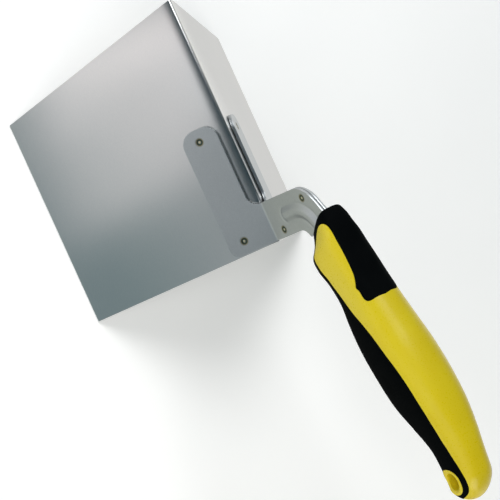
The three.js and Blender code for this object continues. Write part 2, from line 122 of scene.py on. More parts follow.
# Cross-sections of the handle: how far from the nose, the heights of top and belly from its axis,
# half the width, how much wider the upper half is, and how square the upper half is.
SECTIONS = np.array(
    [
        (-9, 11.5, -8, 4, 0.5, 3.4),
        (0, 13.9, -9.4, 4.8, 0.6, 3.4),
        (5.2, 14.8, -10.2, 6, 0.55, 3.4),
        (10.5, 14.8, -11.2, 8, 0.26, 3.3),
        (15.8, 14.4, -12.8, 11.1, 0, 3.2),
        (21, 14.1, -12.6, 11.9, -0.04, 3.1),
        (30, 14.2, -11.6, 11.7, 0.02, 3),
        (40.5, 14.7, -11.6, 11.9, 0.03, 2.8),
        (51, 15.5, -13.8, 13, 0.01, 2.5),
        (63, 16.2, -15.3, 14.2, 0, 2.4),
        (78, 17, -15.9, 14.8, 0, 2.5),
        (96, 16.7, -15.4, 14.3, 0, 2.6),
        (108, 15.6, -12.8, 13, 0, 2.7),
        (121.5, 13.4, -11, 11, -0.03, 2.7),
        (132, 10.5, -13.2, 9.9, -0.06, 2.6),
        (142.5, 6.4, -15.4, 9.6, -0.06, 2.5),
        (150, 3, -15.4, 9.2, -0.06, 2.4),
    ]
)
LOWER_SQUARENESS = 2.4

# Where the yellow core meets the black grip, from the thumb pad's rear corner forward along the
# pad, round the tip of the side window, back along the belly and round the hang ring. Each point is
# the distance from the nose and the angle round the section, 0 at the side and 90 on top.
COLOUR_LINE = [
    (49, 92), (48.5, 75), (48.5, 56), (46.5, 48), (42, 46.5), (40, 44), (38, 48), (34, 54),
    (28, 58), (22, 61), (15, 62), (10, 60.5), (7, 56), (5.5, 45), (6, 20), (8, -15), (10, -30),
    (12, -33), (15, -27), (19, -22), (26, -18.5), (33, -16.5), (42, -6), (52, 12.5), (58, 21),
    (64, 26.5), (74, 31), (84, 35), (94, 36), (106, 32.5), (116, 28), (121, 26.5), (128, 30),
    (134, 35.5), (140, 41), (143, 40), (145, 35), (146.5, 20), (147, -20), (146.5, -100),
]
ROUND_THE_SECTION = 13  # radius that turns those angles into lengths
FAR_PAD_DROP = math.radians(20)  # how much further the thumb pad reaches down the right side
CORE_SHOWS = 0.62  # share of the nose face, from its middle out, where the core reaches through

RIDGE_ORIGIN = Vector(
    (
        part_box("blade")[1].x - RIDGE_LENGTH / 1000,
        0,
        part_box("blade")[0].z
        + (WING_WIDTH * math.cos(HALF_ANGLE) + BLADE_THICKNESS * math.sin(HALF_ANGLE)) / 1000,
    )
)
TO_ROW = Matrix.Translation(RIDGE_ORIGIN) @ Matrix.Scale(0.001, 4)
HANDLE_TO_RIDGE = Matrix.Translation(HANDLE_NOSE) @ Matrix.Rotation(-HANDLE_RISE, 4, "Y")

# ---------- working on a mesh ----------


def only(piece):
    """Select this piece and nothing else."""
    bpy.ops.object.select_all(action="DESELECT")
    piece.select_set(True)
    bpy.context.view_layer.objects.active = piece


def edit(piece):
    only(piece)
    bpy.ops.object.mode_set(mode="EDIT")


def leave():
    bpy.ops.object.mode_set(mode="OBJECT")


def pick(piece, kind, wanted):
    """In edit mode, select the vertices, edges or faces that the test wanted() takes."""
    bpy.ops.mesh.select_mode(type=kind)
    bpy.ops.mesh.select_all(action="DESELECT")
    bm = bmesh.from_edit_mesh(piece.data)
    for item in {"VERT": bm.verts, "EDGE": bm.edges, "FACE": bm.faces}[kind]:
        if wanted(item):
            item.select_set(True)
    bm.select_flush_mode()
    bmesh.update_edit_mesh(piece.data)


def named(piece, name):
    piece.name = name
    piece.data.name = name
    return piece


def copied(piece, name):
    twin = piece.copy()
    twin.data = piece.data.copy()
    bpy.context.scene.collection.objects.link(twin)
    return named(twin, name)


def applied(piece, kind, **settings):
    """Add a modifier and apply it."""
    only(piece)
    modifier = piece.modifiers.new(kind.title(), kind)
    for name, value in settings.items():
        setattr(modifier, name, value)
    bpy.ops.object.modifier_apply(modifier=modifier.name)


def grid(name, columns, rows):
    """A flat sheet of columns by rows faces that runs from (0, 0) to (1, 1)."""
    bpy.ops.object.select_all(action="DESELECT")
    bpy.ops.mesh.primitive_grid_add(x_subdivisions=columns, y_subdivisions=rows, size=1)
    sheet = named(bpy.context.object, name)
    sheet.data.transform(Matrix.Translation((0.5, 0.5, 0)))
    return sheet


def points_of(piece):
    flat = np.empty(len(piece.data.vertices) * 3)
    piece.data.vertices.foreach_get("co", flat)
    return flat.reshape(-1, 3)


def put_points(piece, points):
    piece.data.vertices.foreach_set("co", np.ascontiguousarray(points).ravel())
    piece.data.update()


def score(piece, field):
    """Cut the faces along the line where field(points) is zero. A corner that lies close to the
    line is moved onto it, so that no sliver is left."""
    close = 0.3  # as a share of the edge that the line crosses
    value = field(points_of(piece))
    bm = bmesh.new()
    bm.from_mesh(piece.data)
    bm.verts.ensure_lookup_table()
    nearest = {}
    for edge in bm.edges:
        a, b = edge.verts
        va, vb = value[a.index], value[b.index]
        if va * vb >= 0:
            continue
        share = va / (va - vb)
        for corner, other, part in ((a, b, share), (b, a, 1 - share)):
            if part < close and part < nearest.get(corner.index, (1,))[0]:
                nearest[corner.index] = (part, corner.co.lerp(other.co, part))
    for index, (_, target) in nearest.items():
        bm.verts[index].co = target
        value[index] = 0
    on_line = [v for v in bm.verts if value[v.index] == 0]
    for edge in list(bm.edges):
        a, b = edge.verts
        va, vb = value[a.index], value[b.index]
        if va * vb < 0:
            on_line.append((edge, a, va / (va - vb)))
    split = []
    for item in on_line:
        split.append(bmesh.utils.edge_split(*item)[1] if isinstance(item, tuple) else item)
    bmesh.ops.connect_verts(bm, verts=split)
    bm.to_mesh(piece.data)
    bm.free()


def side_of(piece, field):
    """For each face, field() averaged over its corners."""
    value = field(points_of(piece))
    return np.array([value[list(face.vertices)].mean() for face in piece.data.polygons])


def drop_faces(piece, unwanted):
    bm = bmesh.new()
    bm.from_mesh(piece.data)
    doomed = [face for face, gone in zip(bm.faces, unwanted) if gone]
    bmesh.ops.delete(bm, geom=doomed, context="FACES")
    bm.to_mesh(piece.data)
    bm.free()


def smooth(piece, degrees=35):
    only(piece)
    bpy.ops.object.shade_smooth_by_angle(angle=math.radians(degrees))


def place(piece, slot, *nodes):
    """Into metres and the row frame, riding on the one body, in place of its CAD nodes."""
    piece.data.transform(TO_ROW)
    piece.data.update()
    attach(piece, "root")
    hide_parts(*nodes)
    return piece


# ---------- shapes drawn flat ----------


def arc(x, y, radius, start, stop, steps=14):
    """Points on an arc, with the angles in radians."""
    return [
        (x + radius * math.cos(a), y + radius * math.sin(a))
        for a in np.linspace(start, stop, steps + 1)
    ]


def line_distance(points, line, closed=False):
    """Distance from each point to a chain of straight pieces."""
    line = np.asarray(line, float)
    ends = np.roll(line, -1, axis=0) if closed else line[1:]
    starts = line if closed else line[:-1]
    best = np.full(len(points), np.inf)
    for a, b in zip(starts, ends):
        along = b - a
        share = np.clip(((points - a) @ along) / max(along @ along, 1e-12), 0, 1)
        best = np.minimum(best, np.linalg.norm(points - a - share[:, None] * along, axis=1))
    return best


def outline_distance(points, outline):
    """Distance to a closed outline, negative inside it."""
    outline = np.asarray(outline, float)
    inside = np.zeros(len(points), bool)
    for a, b in zip(outline, np.roll(outline, -1, axis=0)):
        crosses = (a[1] > points[:, 1]) != (b[1] > points[:, 1])
        rise = b[1] - a[1] if b[1] != a[1] else 1
        inside ^= crosses & (points[:, 0] < (b[0] - a[0]) * (points[:, 1] - a[1]) / rise + a[0])
    return np.where(inside, -1, 1) * line_distance(points, outline, closed=True)


def ease(low, high, value):
    share = np.clip((value - low) / (high - low), 0, 1)
    return share * share * (3 - 2 * share)


def curve_through(points, steps=6):
    """A smooth line through the points, each stretch in so many steps."""
    p = np.asarray(points, float)
    p = np.vstack([2 * p[0] - p[1], p, 2 * p[-1] - p[-2]])
    t = np.linspace(0, 1, steps, endpoint=False)[:, None]
    made = []
    for a, b, c, d in zip(p, p[1:], p[2:], p[3:]):
        made.append(
            0.5 * (2 * b + (c - a) * t + (2 * a - 5 * b + 4 * c - d) * t**2
                   + (3 * b - a - 3 * c + d) * t**3)
        )
    return np.vstack([*made, p[-2:-1]])


# ---------- blade ----------


def half_fold():
    """(y, z) of the right half of the fold, from where the wing turns flat up to the ridge."""
    soft_steps, tight_steps = 20, 10
    full = math.pi / 2 - HALF_ANGLE
    share = (np.arange(soft_steps) + 0.5) / soft_steps
    tilt = full - SOFT_TURN * share**SOFT_TURN_LATE
    reach = FOLD_STARTS * math.sin(HALF_ANGLE)
    step = (reach - FOLD_RADIUS * math.sin(full - SOFT_TURN)) / np.cos(tilt).sum()
    line = [np.array([reach, -FOLD_STARTS * math.cos(HALF_ANGLE)])]
    for angle in tilt:
        line.append(line[-1] + step * np.array([-math.cos(angle), math.sin(angle)]))
    top = line[-1][1] - FOLD_RADIUS * math.cos(full - SOFT_TURN)
    for angle in np.linspace(full - SOFT_TURN, 0, tight_steps + 1)[1:]:
        line.append(np.array([FOLD_RADIUS * math.sin(angle), top + FOLD_RADIUS * math.cos(angle)]))
    return [tuple(point) for point in line]


def make_blade():
    fold = half_fold()
    down = Vector((0, -math.sin(HALF_ANGLE), -math.cos(HALF_ANGLE)))
    bpy.ops.object.select_all(action="DESELECT")
    bpy.ops.mesh.primitive_plane_add(size=1)
    blade = named(bpy.context.object, "folded_blade")
    flat = WING_WIDTH - FOLD_STARTS
    middle = down * (FOLD_STARTS + flat / 2) + Vector((RIDGE_LENGTH / 2, 0, 0))
    turn = Matrix.Rotation(math.pi / 2 - HALF_ANGLE, 4, "X")
    blade.data.transform(
        Matrix.Translation(middle) @ turn @ Matrix.Diagonal((RIDGE_LENGTH, flat, 1, 1))
    )
    path = [(-y, z) for y, z in fold] + fold[-2::-1]
    path.append((WING_WIDTH * math.sin(HALF_ANGLE), -WING_WIDTH * math.cos(HALF_ANGLE)))
    edit(blade)
    top = max(v.co.z for v in bmesh.from_edit_mesh(blade.data).verts) - 1e-3
    pick(blade, "EDGE", lambda e: all(v.co.z > top for v in e.verts))
    for (y0, z0), (y1, z1) in zip(path, path[1:]):
        move = {"value": (0, y1 - y0, z1 - z0)}
        bpy.ops.mesh.extrude_edges_move(TRANSFORM_OT_translate=move)
    for side in (-1, 1):
        toe_edge = Vector((TOE_SETBACK, side * WING_WIDTH * math.sin(HALF_ANGLE),
                           -WING_WIDTH * math.cos(HALF_ANGLE)))
        wing_normal = Vector((0, side * math.cos(HALF_ANGLE), math.sin(HALF_ANGLE)))
        cut = toe_edge.cross(wing_normal).normalized()
        cut *= -math.copysign(1, cut.x)
        pick(blade, "FACE", lambda f: f.calc_center_median().y * side > 0)
        bpy.ops.mesh.bisect(plane_co=(0, 0, 0), plane_no=cut, clear_outer=True)
    leave()
    if sum(face.normal.z for face in blade.data.polygons) < 0:
        blade.data.flip_normals()
    applied(blade, "SOLIDIFY", thickness=BLADE_THICKNESS, offset=-1, use_even_offset=True)
    applied(blade, "BEVEL", width=BLADE_EDGE, segments=2, limit_method="ANGLE",
            angle_limit=math.radians(50))
    smooth(blade)
    return place(blade, "stainless_blade", "blade")


# ---------- bracket stampings ----------

BEND_CENTRE = (
    WEB_FACE + BEND_RADIUS,
    (FLANGE_FACE + BEND_RADIUS - (WEB_FACE + BEND_RADIUS) * math.cos(HALF_ANGLE))
    / math.sin(HALF_ANGLE),
)
FLANGE_START = BEND_CENTRE[0] * math.sin(HALF_ANGLE) - BEND_CENTRE[1] * math.cos(HALF_ANGLE)
WEB_START = BEND_CENTRE[1]
BEND_LENGTH = BEND_RADIUS * HALF_ANGLE
TURN = math.pi / 2 - NECK_RISE
NECK_UP = np.array([math.cos(NECK_RISE), math.sin(NECK_RISE)])


def turn_end(centre, radius):
    return np.array([centre[0] - radius * math.cos(TURN), centre[1] + radius * math.sin(TURN)])


def neck_centres():
    """Centres of the neck's inner and outer turns, side on."""
    inner = np.array([HEEL + NECK_INNER_RADIUS, NECK_INNER_HEIGHT])
    outer = np.array([WEB_TOE + NECK_OUTER_RADIUS, 0.0])
    gap = turn_end(outer, NECK_OUTER_RADIUS) - turn_end(inner, NECK_INNER_RADIUS)
    outer[1] = (NECK_WIDTH + gap[0] * NECK_UP[1]) / NECK_UP[0] - gap[1]
    return inner, outer


def blank_outline():
    """The unfolded stamping: x along the ridge, y from the bend, down the wing and up the web."""
    slot = FLANGE_INNER - FLANGE_START
    low = FLANGE_START - FLANGE_OUTER
    lift = BEND_LENGTH - WEB_START
    inner, outer = neck_centres()
    reach = 2 * NECK_WIDTH
    line = arc(HEEL - 4.5, low + 4.5, 4.5, 0, -math.pi / 2)
    line += arc(FLANGE_TOE + 7, low + 7, 7, -math.pi / 2, -math.pi)
    line += arc(FLANGE_TOE + 7, -slot - 7, 7, math.pi, math.pi / 2)
    line += arc(WEB_TOE - slot, 0, slot, -math.pi / 2, 0)
    line += arc(outer[0], outer[1] + lift, NECK_OUTER_RADIUS, math.pi, math.pi - TURN)
    for centre, radius in ((outer, NECK_OUTER_RADIUS), (inner, NECK_INNER_RADIUS)):
        far = turn_end(centre, radius) + NECK_UP * reach
        line.append((far[0], far[1] + lift))
    line += arc(inner[0], inner[1] + lift, NECK_INNER_RADIUS, math.pi - TURN, math.pi)
    return line


def bead_path():
    """The middle of the pressed bead, side on."""
    inner, outer = neck_centres()
    x = (HEEL + WEB_TOE) / 2
    middle = (turn_end(inner, NECK_INNER_RADIUS) + turn_end(outer, NECK_OUTER_RADIUS)) / 2
    corner = middle[1] + (x - middle[0]) * math.tan(NECK_RISE)
    centre = (x + BEAD_BEND_RADIUS, corner - BEAD_BEND_RADIUS * math.tan(TURN / 2))
    line = [(x, BEAD_END_HEIGHT)]
    line += arc(*centre, BEAD_BEND_RADIUS, math.pi, math.pi - TURN, 30)
    line.append(tuple(np.array(line[-1]) + NECK_UP * 40))
    return line


def in_handle(x, z):
    """Side-on ridge coordinates as distance along the handle's axis and height from it."""
    dx, dz = x - HANDLE_NOSE[0], z - HANDLE_NOSE[2]
    cos, sin = math.cos(HANDLE_RISE), math.sin(HANDLE_RISE)
    return dx * cos + dz * sin, dz * cos - dx * sin


def blank_field(points):
    """Negative on the stamping's steel: flange, web and neck up to the nose, and the tang."""
    x, y = points[:, 0], points[:, 1]
    s, h = in_handle(x, y + WEB_START - BEND_LENGTH)
    lean = math.cos(NOSE_LEAN), math.sin(NOSE_LEAN)
    past_nose = (s - NOSE_AT + NOSE_LIP) * lean[0] + h * lean[1]
    body = np.maximum(outline_distance(points[:, :2], blank_outline()), past_nose)
    end = TANG_LENGTH - TANG_HALF
    tang = np.hypot(np.maximum(s - end, 0), h) - TANG_HALF
    tang = np.maximum(tang, -s - TANG_HALF)
    return np.minimum(body, tang)


def weld_distance(x, y):
    """How far a point of the blank is from the nearest weld's middle."""
    spots = [(at, FLANGE_START - FLANGE_WELD_DOWN) for at in FLANGE_WELDS.values()]
    spots += [(at, height - WEB_START + BEND_LENGTH) for at, height in WEB_WELDS.values()]
    return np.min([np.hypot(x - a, y - b) for a, b in spots], axis=0)


def folded(points):
    """The blank bent to the right-hand bracket's outer surface, with its bead and weld dimples."""
    x, y = points[:, 0], points[:, 1]
    sine, cosine = math.sin(HALF_ANGLE), math.cos(HALF_ANGLE)
    down = FLANGE_START - y
    angle = math.pi + HALF_ANGLE - np.clip(y, 0, BEND_LENGTH) / BEND_RADIUS
    flange = np.stack([FLANGE_FACE * cosine + down * sine, FLANGE_FACE * sine - down * cosine])
    bend = np.stack([BEND_CENTRE[0] + BEND_RADIUS * np.cos(angle),
                     BEND_CENTRE[1] + BEND_RADIUS * np.sin(angle)])
    web = np.stack([np.full_like(y, WEB_FACE), WEB_START + y - BEND_LENGTH])
    place_yz = np.where(y < 0, flange, np.where(y < BEND_LENGTH, bend, web))
    off = np.where(y < 0, [[cosine], [sine]], -np.stack([np.cos(angle), np.sin(angle)]))
    near_bead = line_distance(np.stack([x, web[1]], axis=1), bead_path())
    relief = BEAD_HEIGHT * (1 - ease(BEAD_CROWN, BEAD_HALF, near_bead))
    groove = (near_bead - BEAD_GROOVE_AT) / BEAD_GROOVE_HALF
    relief -= BEAD_GROOVE * np.exp(-(groove**2))
    relief = np.where(y > BEND_LENGTH, relief, 0)
    relief -= WELD_SINK * np.exp(-((weld_distance(x, y) / DIMPLE_RADIUS) ** 4))
    place_yz = place_yz + off * relief
    return np.stack([x, place_yz[0], place_yz[1]], axis=1)


def note_weld_distance(piece, distance):
    """Keep the distance from a weld's middle with the mesh, for the heat tint."""
    layer = piece.data.attributes.new("from_weld", "FLOAT", "POINT")
    layer.data.foreach_set("value", np.asarray(distance, np.float32))


def make_stampings():
    low = np.array([FLANGE_TOE - 1, FLANGE_START - FLANGE_OUTER - 1])
    high = np.array([HANDLE_NOSE[0] + TANG_LENGTH, 62])
    columns, rows = np.ceil((high - low) / STAMPING_PITCH).astype(int)
    right = grid("right_stamping", int(columns), int(rows))
    points = points_of(right)
    points[:, :2] = low + points[:, :2] * (high - low)
    put_points(right, points)
    drop_faces(right, side_of(right, blank_field) > 2 * STAMPING_PITCH)
    score(right, blank_field)
    drop_faces(right, side_of(right, blank_field) > 0)
    flat = points_of(right)
    note_weld_distance(right, weld_distance(flat[:, 0], flat[:, 1]))
    put_points(right, folded(flat))
    right.data.flip_normals()
    applied(right, "SOLIDIFY", thickness=PLATE, offset=-1)
    applied(right, "BEVEL", width=STAMPING_EDGE, segments=2, limit_method="ANGLE",
            angle_limit=math.radians(60), use_clamp_overlap=False)
    left = copied(right, "left_stamping")
    left.data.transform(Matrix.Diagonal((1, -1, 1, 1)))
    left.data.flip_normals()
    for piece, node in ((left, "left_bracket"), (right, "right_bracket")):
        smooth(piece, 40)
        place(piece, "bracket_steel", node)
    return left, right


# ---------- spot welds ----------

# The electrode's mark from its middle out: radius, and height from the bottom of the dimple.
WELD_MARK = [(0.35, 0.05), (0.6, 0.03), (0.8, -0.03), (1.05, -0.05), (1.25, 0.0), (1.42, 0.03),
             (1.55, 0.0), (WELD_RADIUS, -0.1)]


def make_nugget(name, node, foot, face, towards):
    """A round nugget on the axis from foot, in millimetres, with its mark at height face along
    towards. A web weld goes through both sheets and has a mark at each end."""
    both = foot is None
    top = [(0, 0.05), *WELD_MARK]
    outline = [(r, face + h) for r, h in top]
    if both:
        outline += [(r, -face - h) for r, h in reversed(top)]
    else:
        outline += [(WELD_RADIUS, foot), (0, foot)]
    bpy.ops.object.select_all(action="DESELECT")
    bpy.ops.mesh.primitive_circle_add(vertices=len(outline), fill_type="NOTHING")
    nugget = named(bpy.context.object, name)
    for vertex, (radius, height) in zip(nugget.data.vertices, outline):
        vertex.co = (radius, 0, height)
    edit(nugget)
    pick(nugget, "EDGE", lambda e: all(v.co.x < 1e-6 for v in e.verts))
    bpy.ops.mesh.delete(type="EDGE")
    bpy.ops.mesh.select_all(action="SELECT")
    bpy.ops.mesh.spin(steps=40, angle=math.tau, center=(0, 0, 0), axis=(0, 0, 1))
    bpy.ops.mesh.select_all(action="SELECT")
    bpy.ops.mesh.remove_doubles(threshold=1e-4)
    bpy.ops.mesh.normals_make_consistent(inside=False)
    leave()
    shape = points_of(nugget)
    note_weld_distance(nugget, np.hypot(shape[:, 0], shape[:, 1]))
    nugget.data.transform(towards)
    smooth(nugget, 50)
    return place(nugget, "weld_steel", node)


def make_welds():
    made = []
    for side, hand in ((-1, "left"), (1, "right")):
        off = Vector((0, side * math.cos(HALF_ANGLE), math.sin(HALF_ANGLE)))
        down = Vector((0, side * math.sin(HALF_ANGLE), -math.cos(HALF_ANGLE)))
        for where, at in FLANGE_WELDS.items():
            centre = Vector((at, 0, 0)) + down * FLANGE_WELD_DOWN
            towards = Matrix.Translation(centre) @ off.to_track_quat("Z", "Y").to_matrix().to_4x4()
            made.append(make_nugget(f"{hand}_{where}_nugget", f"{hand}_{where}_weld", -0.25,
                                    FLANGE_FACE - WELD_SINK, towards))
    for where, (at, height) in WEB_WELDS.items():
        turned = Vector((0, 1, 0)).to_track_quat("Z", "Y").to_matrix().to_4x4()
        towards = Matrix.Translation((at, 0, height)) @ turned
        made.append(make_nugget(f"web_{where}_nugget", f"web_{where}_weld", None,
                                WEB_FACE - WELD_SINK, towards))
    return made


# ---------- handle ----------


def section(s):
    """Top, belly, half width, egg and squareness at each distance from the nose."""
    at, values = SECTIONS[:, 0], SECTIONS[:, 1:]
    slope = np.gradient(values, at, axis=0)
    k = np.clip(np.searchsorted(at, s) - 1, 0, len(at) - 2)
    span = (at[k + 1] - at[k])[:, None]
    t = np.clip((s - at[k])[:, None] / span, 0, 1)
    return (
        values[k] * (1 + 2 * t) * (1 - t) ** 2
        + slope[k] * span * t * (1 - t) ** 2
        + values[k + 1] * t**2 * (3 - 2 * t)
        + slope[k + 1] * span * t**2 * (t - 1)
    ).T


def squared(value, squareness):
    return np.sign(value) * np.abs(value) ** (2 / squareness)


def ring_schedule():
    """For each ring from the nose's middle to the butt's: where it is, and how far it has grown
    or shrunk, as a share, and how far it is inset, in millimetres."""
    face = [(NOSE_AT, share, NOSE_ROUNDING) for share in np.linspace(0, 1, 15)]
    turn = np.linspace(0, math.pi / 2, 7)[1:]
    edge = [(NOSE_AT + NOSE_ROUNDING * (1 - math.cos(a)), 1, NOSE_ROUNDING * (1 - math.sin(a)))
            for a in turn]
    body_end = HANDLE_LENGTH - BUTT_ROUNDING
    body = [(at, 1, 0) for at in np.linspace(NOSE_AT + NOSE_ROUNDING, body_end, HANDLE_RINGS)[1:]]
    butt = [(body_end + BUTT_ROUNDING * math.sin(a), math.cos(a), 0)
            for a in np.linspace(0, math.pi / 2, 26)[1:]]
    return np.array(face + edge + body + butt)


def handle_surface(at, share, inset, angle):
    """Points of the handle, in its own frame, at each ring and angle. The nose face leans back,
    and a ring with a rounded inner edge stands proud round the hang hole."""
    lean = math.tan(NOSE_LEAN) * (1 - ease(NOSE_AT, 30, at))
    s, up_mm = at, np.zeros_like(at)
    for _ in range(4):
        s = at - up_mm * lean
        top, belly, half, egg, upper = section(s)
        sine, cosine = np.sin(angle), np.cos(angle)
        squareness = LOWER_SQUARENESS + (upper - LOWER_SQUARENESS) * ease(-0.2, 0.6, sine)
        up = squared(sine, squareness)
        across = squared(cosine, squareness)
        tall = np.maximum((top - belly) / 2 - inset, 0) * share
        wide = np.maximum(half - inset, 0) * share
        up_mm = (top + belly) / 2 + up * tall
        y = across * (1 + egg * up) * wide
    from_hole = np.hypot(s - HOLE_AT[0], up_mm - HOLE_AT[1])
    proud = RING_PROUD * (1 - ease(RING_RADIUS - 1.2, RING_RADIUS + 0.9, from_hole))
    proud -= HOLE_DIP * (1 - ease(HOLE_RADIUS - 0.4, HOLE_RADIUS + 1.5, from_hole))
    y = y + np.sign(y) * proud * ease(2, 6, np.abs(y))
    return np.stack([s, y, up_mm], axis=1)


def make_handle_form():
    """The whole handle as one closed skin, in the handle's own frame."""
    rings = ring_schedule()
    form = grid("handle_form", len(rings) - 1, HANDLE_SIDES)
    flat = points_of(form)
    ring = np.rint(flat[:, 0] * (len(rings) - 1)).astype(int)
    angle = np.rint(flat[:, 1] * HANDLE_SIDES) * math.tau / HANDLE_SIDES - math.pi / 2
    put_points(form, handle_surface(*rings[ring].T, angle))
    edit(form)
    bpy.ops.mesh.select_all(action="SELECT")
    bpy.ops.mesh.remove_doubles(threshold=1e-4)
    bpy.ops.mesh.normals_make_consistent(inside=False)
    leave()
    return form


def from_hang_hole(points):
    return np.hypot(points[:, 0] - HOLE_AT[0], points[:, 2] - HOLE_AT[1])


def ring_field(points):
    """Negative on the yellow ring round the hang hole."""
    return from_hang_hole(points) - RING_RADIUS


def colour_field(points, shift=0.0):
    """Positive under the black grip, negative where the yellow core shows. The thumb pad reaches
    further down the right side than the left."""
    s, y, h = points.T
    top, belly = section(s)[:2]
    angle = np.arctan2(h - (top + belly) / 2, np.abs(y))
    past_nose, before_rear, up_the_side = ease(4, 12, s), 1 - ease(40, 48, s), ease(0.2, 0.9, angle)
    on_pad = past_nose * before_rear * up_the_side
    angle = angle + np.where(y > 0, FAR_PAD_DROP * on_pad, 0)
    flat = np.stack([s, angle * ROUND_THE_SECTION], axis=1)
    line = np.array([(at, math.radians(turn) * ROUND_THE_SECTION) for at, turn in COLOUR_LINE])
    edge = curve_through(line)
    past_butt, over_top = HANDLE_LENGTH + 30, 100
    ends = [(past_butt, edge[-1][1]), (past_butt, over_top), (COLOUR_LINE[0][0], over_top)]
    return outline_distance(flat, [*edge, *ends]) - shift


def nose_field(points):
    """Negative on the middle of the nose face, where the core reaches through the grip."""
    s, y, h = points.T
    top, belly, half, egg, upper = section(s)
    up = (h - (top + belly) / 2) / ((top - belly) / 2)
    across = y / (half * (1 + egg * np.clip(up, -1, 1)))
    level = (np.abs(up) ** LOWER_SQUARENESS + np.abs(across) ** LOWER_SQUARENESS) ** (
        1 / LOWER_SQUARENESS
    )
    return np.where(s < NOSE_END, (level - CORE_SHOWS) * half, 1.0)


def is_black(piece, shift=0.0):
    return (
        (side_of(piece, lambda p: colour_field(p, shift)) > 0)
        & (side_of(piece, ring_field) > 0)
        & (side_of(piece, nose_field) > 0)
    )


def make_core(form):
    """The yellow core: it stands at the surface where it shows, and is sunk under the grip."""
    core = copied(form, "handle_core_moulding")
    score(core, lambda p: from_hang_hole(p) - HOLE_RADIUS)
    drop_faces(core, side_of(core, lambda p: from_hang_hole(p) - HOLE_RADIUS) < 0)
    edit(core)
    pick(core, "EDGE", lambda e: e.is_boundary)
    bpy.ops.mesh.bridge_edge_loops(number_cuts=10)
    bpy.ops.mesh.select_all(action="SELECT")
    bpy.ops.mesh.normals_make_consistent(inside=False)
    leave()
    for field in (colour_field, ring_field, nose_field):
        score(core, field)
    black = is_black(core)
    edit(core)
    pick(core, "FACE", lambda f: black[f.index])
    bpy.ops.mesh.extrude_region_shrink_fatten(
        TRANSFORM_OT_shrink_fatten={"value": -SKIN, "use_even_offset": True}
    )
    leave()
    core.data.transform(HANDLE_TO_RIDGE)
    smooth(core)
    return place(core, "yellow_plastic", "handle_core")


def make_grip(form):
    """The black grip: a soft shell that fills the core's recess."""
    grip = copied(form, "soft_grip_moulding")
    for field in (lambda p: colour_field(p, SKIN_GAP), ring_field, nose_field):
        score(grip, field)
    drop_faces(grip, ~is_black(grip, SKIN_GAP))
    edit(grip)
    bpy.ops.mesh.select_all(action="SELECT")
    bpy.ops.transform.shrink_fatten(value=GRIP_PROUD)
    leave()
    applied(grip, "SOLIDIFY", thickness=SKIN - SKIN_GAP, offset=-1)
    applied(grip, "BEVEL", width=GRIP_EDGE, segments=2, limit_method="ANGLE",
            angle_limit=math.radians(55), use_clamp_overlap=False)
    grip.data.transform(HANDLE_TO_RIDGE)
    smooth(grip, 40)
    return place(grip, "black_rubber", "soft_grip")


# ---------- finishes ----------


def colour(code):
    """An sRGB hex code as linear RGBA."""
    parts = [int(code[i : i + 2], 16) / 255 for i in (1, 3, 5)]
    return (*[p / 12.92 if p <= 0.04045 else ((p + 0.055) / 1.055) ** 2.4 for p in parts], 1)


def node(tree, kind, links=None, **settings):
    """Add a node with its settings, and link or set its inputs."""
    made = tree.nodes.new(kind)
    for name, value in settings.items():
        setattr(made, name, value)
    for socket, value in (links or {}).items():
        if isinstance(value, bpy.types.NodeSocket):
            tree.links.new(value, made.inputs[socket])
        else:
            made.inputs[socket].default_value = value
    return made


def finish_named(name):
    """A new material with its shader, and a vector that counts millimetres on the piece."""
    material = bpy.data.materials.new(name)
    material.use_nodes = True
    tree = material.node_tree
    tree.nodes.clear()
    shader = node(tree, "ShaderNodeBsdfPrincipled")
    node(tree, "ShaderNodeOutputMaterial", {"Surface": shader.outputs["BSDF"]})
    place_in = node(tree, "ShaderNodeTexCoord").outputs["Object"]
    millimetres = node(tree, "ShaderNodeVectorMath", {0: place_in, "Scale": 1000.0},
                       operation="SCALE")
    return material, tree, shader, millimetres.outputs["Vector"]


def noise(tree, vector, size, detail=3.0, stretch=(1, 1, 1), rough=0.5):
    """Noise whose grains are about size millimetres, drawn out by stretch."""
    mapped = node(tree, "ShaderNodeMapping", {"Vector": vector, "Scale": [1 / k for k in stretch]})
    made = node(tree, "ShaderNodeTexNoise", {"Vector": mapped.outputs["Vector"],
                "Scale": 1 / size, "Detail": detail, "Roughness": rough})
    return made.outputs["Fac"]


def spread(tree, value, low, high):
    """A 0 to 1 value as a range, with the noise's dull middle opened up."""
    made = node(tree, "ShaderNodeMapRange", {"Value": value, "From Min": 0.3, "From Max": 0.7,
                "To Min": low, "To Max": high})
    return made.outputs["Result"]


def mixed(tree, share, first, second, blend="MIX"):
    made = node(tree, "ShaderNodeMix", {"Factor": share, "A": first, "B": second},
                data_type="RGBA", blend_type=blend)
    return made.outputs["Result"]


def bumped(tree, shader, height, depth, strength=1.0):
    made = node(tree, "ShaderNodeBump", {"Height": height, "Distance": depth / 1000,
                "Strength": strength})
    tree.links.new(made.outputs["Normal"], shader.inputs["Normal"])


